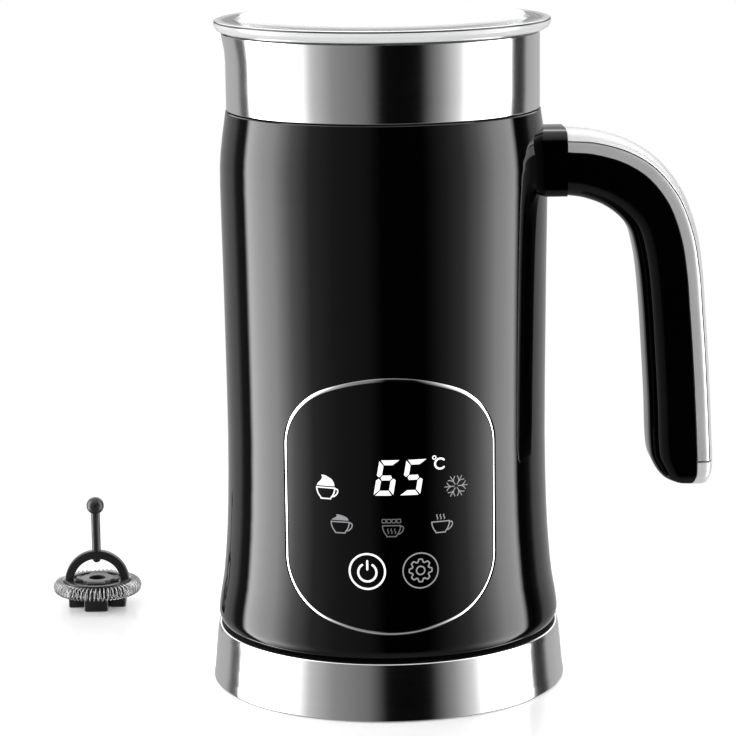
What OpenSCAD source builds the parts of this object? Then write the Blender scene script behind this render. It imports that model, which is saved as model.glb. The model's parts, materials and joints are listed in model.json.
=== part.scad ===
// Cordless milk frother: power base, jug with handle and touch display, clear lid,
// magnet-driven whisk and a spare whisk. Origin at the centre of the foot ring,
// +Z up, handle towards +X, display towards -Y, cord gland towards +Y.

/* [Overall] */
// Top face of the lid above the surface
total_h = 200; // [199:0.5:202]
// Outer radius of the steel collar
collar_r = 46.2; // [46:0.1:46.4]
// Wall of the gloss shell
shell_wall = 2.2; // [2:0.1:2.4]

/* [Power base] */
// Radius of the steel skirt at the surface
skirt_r = 53.3; // [52.5:0.1:54]
// Top of the steel skirt
skirt_top = 17.1; // [16.8:0.1:17.2]
// Radius of the hole that the power cord passes through
cord_hole_r = 3.3; // [2.5:0.1:3.5]

/* [Cup] */
// Inner radius of the steel cup
cup_r = 41; // [40.5:0.1:41.2]
// Inner face of the cup floor
cup_floor = 72; // [71.5:0.5:72.5]
// Radius of the cup's bottom corner
cup_corner = 12; // [8:0.5:14]

/* [Display panel] */
// Half the width of the panel
panel_half_w = 29.7; // [28:0.1:31]
// Half the height of the panel
panel_half_h = 36.5; // [35:0.1:37.5]
// Height of the panel's centre
panel_z = 63; // [62:0.5:64]
// Width of the bright ring round the window
trim_w = 1.2; // [0.8:0.1:1.6]

/* [Handle] */
// Half the width of the grip
grip_half_w = 11.5; // [10:0.5:12.5]
// Wall of the grip and of its bright back
grip_wall = 2; // [1.6:0.1:2.4]
// Depth of the bright back at its lower end, from its edge to its crown
back_depth = 5.4; // [5:0.2:6.4]

/* [Whisk] */
// Outer radius of the whisk's spring coil
coil_out_r = 14.6; // [14.2:0.1:15.5]
// Radius of one turn of the coil
coil_turn_r = 2.2; // [2:0.1:2.4]
// Height of the whisk with its ball
whisk_h = 36.5; // [35:0.5:40]
// Where the spare whisk stands, across
spare_x = -94; // [-110:1:-80]
// Where the spare whisk stands, behind the jug's axis
spare_y = 80; // [60:1:90]

/* [Hidden] */
$fn = 96;
eps = 0.05;          // gap between neighbouring pieces of one body
run = 0.05;          // radial clearance of a running fit

// Power base
bottom_plate_z = 1;
bottom_plate_t = 2;
deck_z = 14.6;
deck_t = 2;
socket_r = 13.2;
socket_top = 25.6;
skirt_in = skirt_r - 2.9;        // inner face of the skirt
base_plate_r = skirt_in - eps;
base_screw_pcr = 38;
base_screw_angles = [45, 165, 285];
foot_out = 47.2;
foot_in = 42.8;
gland_z = 9;
gland_r = 4.5;
clamp_z = 12.4;
clamp_back = 14.5;               // the clamp's centre, from the skirt's outside
clamp_screw_x = 6.5;
contact_r = 2;                   // hole for the centre pin
groove_out = 8;                  // groove for the ring blade
groove_in = 6.6;
// Outside of the skirt as [depth under skirt_r, height] at its bends
SKIRT_BENDS = [[0.1, 0.15], [0, 0.45], [0.5, 3.9], [0.8, 7.1], [1.1, 10.2], [1.4, 13.4]];

// Jug
shell_z = 17.8;
shell_top = 172.2;
cover_r = 47;
cover_z = 18.1;
cover_t = 2.3;
coupler_r = 15;
coupler_top = 28;
collar_z = 172.5;
collar_top = 194.9;
collar_t = 0.6;
cup_t = 0.6;
cup_rim = 194.7;
post_pcr = 36;
post_angles = [30, 150, 270];
cover_boss_angles = [90, 210, 330];
cover_boss_pcr = 45.4;
board_z = 30;
board_t = 1.6;
post_foot_r = 4.2;   // lower part of the posts, which the control board rests on
post_r = 3;
bracket_z = 58;
bracket_t = 1.5;
heater_z = 66.5;
heater_in = 21;
heater_out = 29;
sensor_pcr = 25;     // circle of the temperature sensor and the thermal cut-out
sensor_angle = 60;
cutout_angle = 200;
sensor_r = 2.4;
sensor_z = 62;
pin_r = 2;
whisk_z = cup_floor + 0.9;

// Motor and rotor
can_r = 12.2;
can_t = 0.8;
can_z = 36;
can_screw_angles = [0, 180];
can_screw_pcr = 7.5;
front_boss_r = 3;    // the front bush sits in this hole of the can and the bracket
bush_out = 2.5;
shaft_r = 1;
shaft_fit = 0.01;    // pieces pressed on the shaft
yoke_r = 18;
yoke_z = 65;
yoke_t = 1.6;
magnet_angles = [0, 90, 180, 270];

// Lid
lid_r = 49.5;
plateau_r = 42.2;
spigot_r = cup_r - 1;            // the part of the lid that goes into the cup

// Heights of the screws that hold the handle's neck
NECK_SCREW_Z = [150, 161];
neck_seat_x = 45.1;  // flat seats of their heads, inside the shell
neck_seat_r = 3.6;
grip_corner_r = 6;   // corner on the finger side of the grip
neck_extra = 0.7;    // how much deeper the bright back is at the neck
back_side = 2.5;     // its flat side, below the crown
// Outline of the gloss shell as [radius, height] at its bends; a curve runs through them
SHELL_BENDS = [
    [50.4, 18.4], [51.2, 20.9], [50.6, 26], [49.6, 32], [48.7, 41.5], [48, 54], [47.6, 75],
    [47.85, 106], [48.1, 127], [48.45, 150], [48.1, 160], [46.9, 169], [46.45, shell_top]
];
// Grip outline in the XZ plane, as [inner x, inner z, outer x, outer z] at each bend
GRIP_BENDS = [
    [54.9, 146.2, 54.9, 165.6], [59, 145.5, 63, 164.7], [64.5, 143.4, 73, 161.5],
    [69.2, 140, 81.5, 155.8], [72.4, 135.8, 88.5, 146.6], [74, 130.5, 92.7, 135],
    [75.2, 123.5, 94.5, 123.5], [76.3, 112, 95.4, 112], [77.2, 98, 96.4, 98],
    [78, 84, 97.2, 83], [78.5, 71, 97.8, 70], [79.6, 65.5, 97.9, 65.5],
    [82.7, 61.2, 97.7, 62.2], [87.2, 59.3, 96.3, 59.1]
];

// ---------- curves ----------
function spline_at(p0, p1, p2, p3, t) =
    0.5 * (2 * p1 + (p2 - p0) * t + (2 * p0 - 5 * p1 + 4 * p2 - p3) * t * t
           + (3 * p1 - p0 - 3 * p2 + p3) * t * t * t);
function spline(p, steps) = [
    for (i = [0 : len(p) - 2])
        for (s = [0 : steps - 1])
            spline_at(p[max(i - 1, 0)], p[i], p[i + 1], p[min(i + 2, len(p) - 1)], s / steps),
    p[len(p) - 1]
];
function backwards(p) = [for (i = [len(p) - 1 : -1 : 0]) p[i]];
function arc(r, from, to, steps, at = [0, 0]) =
    [for (i = [0 : steps]) let (a = from + (to - from) * i / steps) at + r * [cos(a), sin(a)]];

SHELL_CURVE = spline(SHELL_BENDS, 2);
function inset_curve(p, d) = [for (q = p) [q[0] - d, q[1]]];

// ---------- shared shapes ----------
module ring(r_out, r_in, z0, z1) {
    translate([0, 0, z0])
        difference() {
            cylinder(r = r_out, h = z1 - z0);
            translate([0, 0, -1]) cylinder(r = r_in, h = z1 - z0 + 2);
        }
}
module around(angles, r) {
    for (a = angles) rotate([0, 0, a]) translate([r, 0, 0]) children();
}
// Screw with its head's seat at z = 0, its shank going down
module screw(head_r, head_h, shank_r, shank_l) {
    difference() {
        union() {
            cylinder(r = head_r, h = head_h, $fn = 32);
            translate([0, 0, -shank_l]) cylinder(r = shank_r, h = shank_l + 0.1, $fn = 32);
        }
        for (a = [0, 90]) rotate([0, 0, a]) translate([-head_r * 0.6, -0.25, head_h * 0.5])
            cube([head_r * 1.2, 0.5, head_h]);
    }
}
// Layer of the shell between two depths under its surface
module shell_layer(from, to) {
    rotate_extrude()
        polygon(concat(inset_curve(SHELL_CURVE, from), backwards(inset_curve(SHELL_CURVE, to))));
}
// Panel outline, all its arcs grown by g
module panel_outline(g) {
    end_r = 50;
    corner_r = 18;
    cx = panel_half_w - corner_r;
    end_y = panel_half_h - end_r;
    cy = end_y + sqrt(pow(end_r - corner_r, 2) - cx * cx);
    tangent_x = cx * end_r / (end_r - corner_r);
    intersection() {
        translate([0, end_y]) circle(r = end_r + g);
        translate([0, -end_y]) circle(r = end_r + g);
        square([2 * tangent_x, 2 * panel_half_h + 2 * g + 1], center = true);
    }
    square([2 * (panel_half_w + g), 2 * cy], center = true);
    for (sx = [-1, 1], sy = [-1, 1]) translate([sx * cx, sy * cy]) circle(r = corner_r + g);
}
module panel_prism(g) {
    translate([0, 0, panel_z]) rotate([90, 0, 0]) linear_extrude(height = 60) panel_outline(g);
}

// ---------- power base ----------
module base_skirt() color("silver") {
    difference() {
        rotate_extrude() polygon(concat(
            [for (b = SKIRT_BENDS) [skirt_r - b[0], b[1]]],
            [[skirt_r - 1.9, skirt_top - 0.4], [skirt_r - 2.2, skirt_top], [skirt_in, skirt_top],
             [skirt_in, SKIRT_BENDS[0][1]]]
        ));
        translate([0, skirt_r - 8, gland_z]) rotate([-90, 0, 0]) cylinder(r = gland_r + eps, h = 16);
    }
}
module base_deck() color([0.08, 0.08, 0.08]) {
    boss_z = bottom_plate_z + bottom_plate_t + 0.2;
    difference() {
        union() {
            ring(base_plate_r, socket_r + eps, deck_z, deck_z + deck_t);
            around(base_screw_angles, base_screw_pcr)
                translate([0, 0, boss_z]) cylinder(r = 3.5, h = deck_z - boss_z + 0.5, $fn = 48);
        }
        around(base_screw_angles, base_screw_pcr)
            translate([0, 0, 2]) cylinder(r = 1.25, h = 11.5, $fn = 48);
    }
}
module base_bottom() color([0.1, 0.1, 0.1]) {
    recess_top = bottom_plate_z + 0.9;
    difference() {
        union() {
            translate([0, 0, bottom_plate_z]) cylinder(r = base_plate_r, h = bottom_plate_t);
            for (s = [-1, 1])
                translate([s * clamp_screw_x, skirt_r - clamp_back, bottom_plate_z + 0.5])
                    cylinder(r = 2.2, h = clamp_z - bottom_plate_z - 0.5, $fn = 48);
        }
        ring(foot_out + eps, foot_in - eps, 0, recess_top);
        around(base_screw_angles, base_screw_pcr) {
            cylinder(r = 1.6, h = 5, $fn = 48);
            cylinder(r = 2.9, h = recess_top, $fn = 48);
        }
    }
}
module foot_ring() color([0.15, 0.15, 0.15]) {
    ring(foot_out, foot_in, 0, bottom_plate_z + 0.85);
}
module base_screws() color("silver") {
    around(base_screw_angles, base_screw_pcr)
        translate([0, 0, bottom_plate_z + 0.85]) mirror([0, 0, 1]) screw(2.6, 0.8, 1.2, 10);
}
module base_socket() color([0.12, 0.12, 0.12]) {
    difference() {
        union() {
            translate([0, 0, 6]) cylinder(r = socket_r, h = socket_top - 6.6);
            translate([0, 0, socket_top - 0.6]) cylinder(r1 = socket_r, r2 = socket_r - 0.6, h = 0.6);
            translate([0, 0, deck_z - 2.05]) cylinder(r = socket_r + 3, h = 2);
        }
        translate([0, 0, 11]) cylinder(r = contact_r, h = 20);
        ring(groove_out, groove_in, 13, 30);
    }
}
module contact_rings() color("goldenrod") {
    ring(contact_r - eps, contact_r - 0.4, 11.2, 19);
    ring(groove_out - eps, groove_out - 0.25, 13.2, 20);
}
module cord_gland() color([0.1, 0.1, 0.1]) {
    translate([0, skirt_r - 10.5, gland_z]) rotate([-90, 0, 0])
        difference() {
            union() {
                cylinder(r = gland_r, h = 12);
                cylinder(r = gland_r + 0.8, h = 7.2);
            }
            translate([0, 0, -1]) cylinder(r = cord_hole_r, h = 14);
        }
}
module cord_clamp() color([0.2, 0.2, 0.2]) {
    translate([0, skirt_r - clamp_back, 0]) difference() {
        translate([-9, -2, clamp_z + eps]) cube([18, 4, 1.8]);
        for (s = [-1, 1]) translate([s * clamp_screw_x, 0, 10]) cylinder(r = 1, h = 12, $fn = 32);
    }
}

// ---------- round connector under the jug ----------
module jug_coupler() color([0.12, 0.12, 0.12]) {
    difference() {
        translate([0, 0, cover_z + 0.1]) cylinder(r = coupler_r, h = coupler_top - cover_z - 0.1);
        translate([0, 0, 10]) cylinder(r = socket_r + 0.3, h = 16.1);
        translate([0, 0, 20]) cylinder(r = 1.55, h = 12);
    }
}
module coupler_pins() color("goldenrod") {
    translate([0, 0, 13]) cylinder(r = 1.5, h = 15.5, $fn = 48);
    ring(7.6, 7, 15, 26.05);
}

// ---------- jug ----------
module outer_shell() color([0.03, 0.03, 0.03]) {
    difference() {
        union() {
            shell_layer(0, shell_wall);
            rotate_extrude() polygon([
                [49.2, shell_z], [50.4, 18.4], [50.4 - shell_wall, 18.4], [48.2, shell_z]
            ]);
            around(cover_boss_angles, cover_boss_pcr)
                translate([0, 0, cover_z + cover_t + 0.2]) cylinder(r = 3.6, h = 10, $fn = 48);
            for (z = NECK_SCREW_Z) translate([neck_seat_x, 0, z]) rotate([0, 90, 0])
                cylinder(r = neck_seat_r, h = 1.7, $fn = 48);
        }
        panel_prism(trim_w + 0.05);
        around(cover_boss_angles, cover_boss_pcr) translate([0, 0, 20]) cylinder(r = 1.25, h = 9, $fn = 48);
        for (z = NECK_SCREW_Z) translate([40, 0, z]) rotate([0, 90, 0])
            cylinder(r = 1.7, h = 15, $fn = 48);
    }
}
module steel_collar() color("silver") {
    rotate_extrude() polygon([
        [collar_r - 0.25, collar_z], [collar_r, collar_z + 0.3], [collar_r, collar_top - 0.3],
        [collar_r - 0.3, collar_top], [collar_r - collar_t, collar_top - 0.1],
        [collar_r - collar_t, collar_z + collar_t], [cup_r + 1.6, collar_z + collar_t],
        [cup_r + 1.6, collar_z]
    ]);
}
module inner_cup() color("gainsboro") {
    out_r = cup_r + cup_t;
    rotate_extrude() polygon(concat(
        [[0, cup_floor - cup_t]],
        arc(cup_corner + cup_t, -90, 0, 12, [cup_r - cup_corner, cup_floor + cup_corner]),
        [[out_r, cup_rim - cup_t], [collar_r - collar_t - eps, cup_rim - cup_t],
         [collar_r - collar_t - eps, cup_rim], [cup_r, cup_rim]],
        arc(cup_corner, 0, -90, 12, [cup_r - cup_corner, cup_floor + cup_corner]),
        [[0, cup_floor]]
    ));
}
module cup_gasket() color([0.2, 0.2, 0.2]) {
    ring(collar_r - shell_wall - 0.1, cup_r + cup_t + eps, 170, collar_z - eps);
}
module drive_pin() color("silver") {
    translate([0, 0, cup_floor]) cylinder(r = 3.4, h = 0.6, $fn = 48);
    translate([0, 0, cup_floor + 0.5]) cylinder(r = pin_r, h = 6.5, $fn = 48);
    translate([0, 0, cup_floor + 6.9]) cylinder(r1 = pin_r, r2 = pin_r - 0.7, h = 0.9, $fn = 48);
}
module display_window() color([0.02, 0.02, 0.02]) {
    intersection() {
        shell_layer(0.05, 1.3);
        panel_prism(-0.05);
    }
}
module panel_trim() color("silver") {
    intersection() {
        shell_layer(-0.2, 1.5);
        difference() {
            panel_prism(trim_w);
            panel_prism(0);
        }
    }
}
module display_board() color([0.05, 0.25, 0.12]) {
    difference() {
        translate([-15, -43.2, 40]) cube([30, 1.2, 42]);
        for (x = [-12, 12], z = [43, 79])
            translate([x, -40, z]) rotate([90, 0, 0]) cylinder(r = 1.1, h = 5, $fn = 32);
    }
}
module led_display() color([0.85, 0.85, 0.85]) {
    translate([-9.5, -44.8, 70.5]) cube([19, 1.55, 11]);
}
module touch_springs() color("silver") {
    for (at = [[-7.5, 44.5], [8, 44.5], [-9.5, 58.5], [-1, 58.5], [8, 58.5]])
        translate([at[0], -43.25, at[1]]) rotate([90, 0, 0]) difference() {
            cylinder(r = 2.2, h = 1.8, $fn = 32);
            translate([0, 0, -1]) cylinder(r = 1.6, h = 4, $fn = 32);
        }
}
module sensor_hole() {
    around([sensor_angle], sensor_pcr)
        translate([0, 0, heater_z - 1]) cylinder(r = sensor_r + 0.2, h = 8, $fn = 48);
}
module heater_ring() color("dimgray") {
    difference() {
        ring(heater_out, heater_in, heater_z, heater_z + 3.4);
        sensor_hole();
    }
}
module heat_spreader() color("silver") {
    difference() {
        ring(heater_out, heater_in - 1.5, heater_z + 3.45, cup_floor - cup_t);
        sensor_hole();
    }
}
module temp_sensor() color("goldenrod") {
    around([sensor_angle], sensor_pcr) translate([0, 0, sensor_z])
        cylinder(r = sensor_r, h = cup_floor - cup_t - sensor_z, $fn = 48);
}
module thermal_cutout() color([0.6, 0.5, 0.4]) {
    around([cutout_angle], sensor_pcr) translate([0, 0, heater_z - 4.35 - eps]) {
        cylinder(r = 4, h = 4.35, $fn = 48);
        for (s = [-1, 1]) translate([s * 2 - 0.4, -0.2, -3.5]) cube([0.8, 0.4, 3.7]);
    }
}
module motor_can() color("silver") {
    ring(can_r, can_r - can_t, can_z, bracket_z - eps);
    difference() {
        translate([0, 0, bracket_z - eps - can_t]) cylinder(r = can_r, h = can_t);
        translate([0, 0, bracket_z - 3]) cylinder(r = front_boss_r, h = 5, $fn = 48);
        around(can_screw_angles, can_screw_pcr)
            translate([0, 0, bracket_z - 3]) cylinder(r = 1.05, h = 5, $fn = 32);
    }
}
module motor_end_cap() color([0.85, 0.85, 0.8]) {
    difference() {
        union() {
            translate([0, 0, can_z - 2.5]) cylinder(r = can_r, h = 2.45);
            translate([0, 0, can_z - 4]) cylinder(r = 4, h = 3, $fn = 48);
        }
        translate([0, 0, can_z - 3]) cylinder(r = bush_out + eps, h = 6, $fn = 48);
    }
}
module stator_magnets() color([0.25, 0.25, 0.27]) {
    difference() {
        ring(can_r - can_t - eps, 9.5, 40, 54);
        for (a = [0, 180]) rotate([0, 0, a]) translate([0, -3, 39]) cube([20, 6, 16]);
    }
}
module motor_bushes() color("peru") {
    ring(bush_out, shaft_r + run, can_z - 2.95, can_z - 0.1, $fn = 48);
    ring(front_boss_r - eps, shaft_r + run, bracket_z - 2.5, bracket_z + 1.5, $fn = 48);
}
module motor_brushes() color([0.3, 0.25, 0.2]) {
    for (s = [-1, 1]) translate([s * 5 - 1.7, -1, 37.4]) cube([3.4, 2, 1.4]);
}
module motor_bracket() color("silver") {
    pad_r = 5;
    translate([0, 0, bracket_z]) linear_extrude(height = bracket_t) difference() {
        union() {
            circle(r = yoke_r);
            for (a = post_angles) rotate([0, 0, a]) translate([0, -pad_r]) square([post_pcr, 2 * pad_r]);
            around(post_angles, post_pcr) circle(r = pad_r, $fn = 48);
        }
        circle(r = front_boss_r, $fn = 48);
        around(can_screw_angles, can_screw_pcr) circle(r = 1.05, $fn = 32);
        around(post_angles, post_pcr) circle(r = 1.4, $fn = 32);
    }
}
module motor_screws() color("silver") {
    top = bracket_z + bracket_t;
    around(post_angles, post_pcr) translate([0, 0, top]) screw(2.6, 1.3, 1.15, 9);
    around(can_screw_angles, can_screw_pcr) translate([0, 0, top]) screw(1.8, 1, 1, 3);
}
module control_board() color([0.05, 0.3, 0.15]) {
    difference() {
        translate([0, 0, board_z]) cylinder(r = 41, h = board_t);
        around(post_angles, post_pcr)
            translate([0, 0, board_z - 1]) cylinder(r = post_r + 0.1, h = 4, $fn = 48);
    }
}
module board_components() color([0.3, 0.3, 0.35]) {
    top = board_z + board_t;
    translate([-32, -9, top]) cube([14, 18, 13]);
    translate([17, 5, top]) cube([11, 8, 10]);
    translate([20, -15, top]) cube([9, 11, 5]);
    for (at = [[0, 24], [-10, 28], [6, -26]]) translate([at[0], at[1], top])
        cylinder(r = 4, h = 14, $fn = 48);
    translate([-18, 18, top]) cube([6, 6, 4]);
    translate([-26, -24, top]) cube([12, 8, 3]);
}
module bottom_cover() color([0.1, 0.1, 0.1]) {
    difference() {
        union() {
            ring(cover_r, coupler_r + 0.1, cover_z, cover_z + cover_t);
            ring(coupler_r + 2, coupler_r + 0.1, cover_z, coupler_top + 1);
            around(post_angles, post_pcr) translate([0, 0, cover_z + 1]) {
                cylinder(r = post_foot_r, h = board_z - cover_z - 1, $fn = 48);
                cylinder(r = post_r, h = bracket_z - cover_z - 1, $fn = 48);
            }
        }
        around(post_angles, post_pcr) translate([0, 0, 45]) cylinder(r = 1.2, h = 20, $fn = 32);
        around(cover_boss_angles, cover_boss_pcr) {
            translate([0, 0, cover_z - 1]) cylinder(r = 1.45, h = 6, $fn = 32);
            translate([0, 0, cover_z - 1]) cylinder(r = 2.4, h = 2, $fn = 32);
        }
    }
}
module cover_screws() color("silver") {
    around(cover_boss_angles, cover_boss_pcr)
        translate([0, 0, cover_z + 1]) mirror([0, 0, 1]) screw(2.2, 0.9, 1.2, 8);
}

// ---------- handle ----------
GRIP_CURVE = spline(GRIP_BENDS, 3);
LAST_GRIP_RING = len(GRIP_CURVE) - 1;
CAP_RING = LAST_GRIP_RING - 7;      // the bright back ends here and the end cap starts
SOLID_RING = LAST_GRIP_RING - 4;    // the grip's bottom end is solid from here
function grip_depth(g) = norm([g[2] - g[0], g[3] - g[1]]);
// Depth of the bright back at a ring: it is deeper towards the neck
function back_d(i) = back_depth + neck_extra * pow(max(0, 1 - i / CAP_RING), 2);
// Half width at a ring: the grip narrows over its rounded bottom end
function grip_w(i) = grip_half_w * (i <= CAP_RING ? 1 :
    1 - 0.22 * pow((i - CAP_RING) / (LAST_GRIP_RING - CAP_RING), 2));
// Point of a ring's section: y across, m in from the finger side
function grip_point(g, y, m) =
    let (k = m / grip_depth(g)) [g[0] + (g[2] - g[0]) * k, y, g[1] + (g[3] - g[1]) * k];
// Outer outline of the grip's section, as [y, m] pairs: flat sides and a round finger side
function grip_outline(g, w, b, t = 0) =
    let (d = grip_depth(g) - b, r = min(grip_corner_r, 0.9 * d))
    concat([[-w + t, d]], arc(r - t, 180, 270, 5, [-w + r, r]), arc(r - t, 270, 360, 5, [w - r, r]),
           [[w - t, d]]);
// Outer outline of the bright back's section: straight sides and a crowned top
function back_outline(g, w, b, t = 0) =
    let (low = grip_depth(g) - b + eps, side = low + back_side - t / 2,
         crown = b - back_side - eps - t / 2, steps = 8)
    concat([[w - t, low]],
           [for (i = [0 : steps]) let (u = 1 - 2 * i / steps)
               [(w - t) * u, side + crown * sqrt(max(0, 1 - pow(abs(u), 3)))]],
           [[-w + t, low]]);
// Ends of a sweep whose section is a channel: an outline, then its inner outline backwards
function channel_end(n) = [for (j = [0 : n / 2 - 2]) each [[j, j + 1, n - 2 - j], [j, n - 2 - j, n - 1 - j]]];
// Ends of a sweep whose section is convex
function convex_end(n) = [for (j = [1 : n - 2]) [0, j, j + 1]];
module sweep(rings, end) {
    n = len(rings[0]);
    last = len(rings) - 1;
    polyhedron(
        points = [for (r = rings) each r],
        faces = concat(
            end,
            [for (i = [0 : last - 1], j = [0 : n - 1])
                let (a = i * n + j, b = i * n + (j + 1) % n) each [[a, a + n, b + n], [a, b + n, b]]],
            [for (f = end) [for (j = backwards(f)) last * n + j]]
        )
    );
}
// The grip's rings from one index to another, each with its section's points
module grip_channel(from, to) {
    rings = [for (i = [from : to]) let (g = GRIP_CURVE[i], w = grip_w(i), b = back_d(i))
        [for (s = concat(grip_outline(g, w, b), backwards(grip_outline(g, w, b, grip_wall))))
            grip_point(g, s[0], s[1])]];
    sweep(rings, channel_end(len(rings[0])));
}
module grip_solid(from, to) {
    rings = [for (i = [from : to]) let (g = GRIP_CURVE[i])
        [for (s = grip_outline(g, grip_w(i), back_d(i))) grip_point(g, s[0], s[1])]];
    sweep(rings, convex_end(len(rings[0])));
}
module back_channel(from, to) {
    rings = [for (i = [from : to]) let (g = GRIP_CURVE[i], w = grip_w(i), b = back_d(i))
        [for (s = concat(back_outline(g, w, b), backwards(back_outline(g, w, b, grip_wall))))
            grip_point(g, s[0], s[1])]];
    sweep(rings, channel_end(len(rings[0])));
}
module back_solid(from, to) {
    rings = [for (i = [from : to]) let (g = GRIP_CURVE[i])
        [for (s = back_outline(g, grip_w(i), back_d(i))) grip_point(g, s[0], s[1])]];
    sweep(rings, convex_end(len(rings[0])));
}
module handle_neck() color([0.04, 0.04, 0.04]) {
    face_x = GRIP_BENDS[0][0] - eps;
    low_z = GRIP_BENDS[0][1];
    high_z = GRIP_BENDS[0][3];
    difference() {
        translate([40, -grip_half_w, low_z]) cube([face_x - 40, 2 * grip_half_w, high_z - low_z]);
        shell_cutter();
        for (z = NECK_SCREW_Z)
            translate([neck_seat_x - 1, 0, z]) rotate([0, 90, 0]) cylinder(r = 1.3, h = 9.5, $fn = 48);
    }
}
module handle_grip() color([0.04, 0.04, 0.04]) {
    grip_channel(0, SOLID_RING);
}
module grip_foot() color([0.04, 0.04, 0.04]) {
    grip_solid(SOLID_RING, LAST_GRIP_RING);
}
// The space of the shell, which the neck's end follows
module shell_cutter() {
    rotate_extrude() polygon(concat(
        [[0, SHELL_BENDS[0][1]]], inset_curve(SHELL_CURVE, -eps), [[0, shell_top]]));
}
module handle_back() color("silver") {
    back_channel(1, CAP_RING);
}
module handle_end_cap() color("gainsboro") {
    back_solid(CAP_RING + 1, LAST_GRIP_RING);
}
module handle_screws() color("silver") {
    for (z = NECK_SCREW_Z) translate([neck_seat_x - eps, 0, z]) rotate([0, -90, 0])
        screw(2.8, 1.4, 1.25, 7.5);
}

// ---------- rotor ----------
module motor_shaft() color("silver") {
    foot = can_z - 2.9;
    translate([0, 0, foot]) cylinder(r = shaft_r, h = yoke_z + yoke_t - foot, $fn = 48);
}
module armature() color("peru") {
    difference() {
        union() {
            translate([0, 0, 41]) cylinder(r = 9, h = 11, $fn = 96);
            translate([0, 0, 40]) cylinder(r = 7.6, h = 13.5);
        }
        for (a = [0 : 72 : 288]) rotate([0, 0, a]) translate([5, -0.8, 39]) cube([6, 1.6, 16]);
        translate([0, 0, 30]) cylinder(r = shaft_r + shaft_fit, h = 30, $fn = 48);
    }
}
module commutator() color("goldenrod") {
    ring(3.2, shaft_r + shaft_fit, can_z + 0.6, can_z + 3.6, $fn = 48);
}
module magnet_yoke() color("dimgray") {
    hub_z = bracket_z + bracket_t + 1.5;
    difference() {
        union() {
            translate([0, 0, hub_z]) cylinder(r = 4, h = yoke_z - hub_z + 0.1, $fn = 48);
            translate([0, 0, yoke_z]) cylinder(r = yoke_r, h = yoke_t);
        }
        translate([0, 0, hub_z - 1]) cylinder(r = shaft_r + shaft_fit, h = 8, $fn = 48);
    }
}
module drive_magnets() color([0.7, 0.7, 0.72]) {
    around(magnet_angles, 8.5) translate([0, 0, yoke_z + yoke_t]) cylinder(r = 3.5, h = 3.2, $fn = 48);
}

// ---------- lid ----------
module lid() color([0.95, 0.97, 1, 0.5]) {
    top = total_h;
    flange = top - 1.2;
    inside_top = top - 3;
    rotate_extrude() polygon([
        [0, top - 1.7], [spigot_r - 2.2, top - 1.7], [spigot_r - 2.2, top - 9.4], [spigot_r, top - 9.4],
        [spigot_r, top - 8.2], [spigot_r - 1, top - 8.2], [spigot_r - 1, top - 6.2],
        [spigot_r, top - 6.2], [spigot_r, inside_top],
        [collar_r - 0.8, inside_top], [collar_r - 0.8, collar_top + 0.15],
        [collar_r + 0.6, collar_top + 0.15], [collar_r + 1.5, collar_top + 0.45],
        [lid_r - 0.8, collar_top + 1.3], [lid_r, collar_top + 2.3], [lid_r, flange - 0.5],
        [lid_r - 0.6, flange],
        [plateau_r + 1.4, flange], [plateau_r, top - 0.1], [plateau_r - 0.5, top], [0, top]
    ]);
}
module lid_gasket() color([0.9, 0.92, 0.95]) {
    top = total_h;
    rotate_extrude() polygon([
        [spigot_r - 0.95, top - 8.15], [cup_r - 0.3, top - 8.1], [cup_r - 0.15, top - 7.7],
        [cup_r - 0.5, top - 7.3], [cup_r - 0.15, top - 6.8], [cup_r - 0.3, top - 6.3],
        [spigot_r - 0.95, top - 6.25]
    ]);
}

// ---------- whisk, built with its arms' undersides at z = 0 ----------
arm_half = 9.3;
arm_w = 7.7;
arm_h = 8.4;
hub_top = 9.35;
hub_r = 4.6;
web_z = 4;           // web between the arms
rim_out = coil_out_r - 2 * coil_turn_r + 0.35;
rim_in = rim_out - 1.8;
rim_z = 7.9;
arch_out = 10.6;
arch_in = 7.8;
arch_z = 8;
stem_r = 1.45;
ball_r = 2.85;
magnet_r = 2.4;
whisk_magnet_pcr = 6.3;
whisk_magnet_angles = [0, 90, 180, 270];
coil_z = 6.6;
bush_r = 2.5;
bush_flange_r = 3.4;
coil_ring_r = coil_out_r - coil_turn_r;

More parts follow.
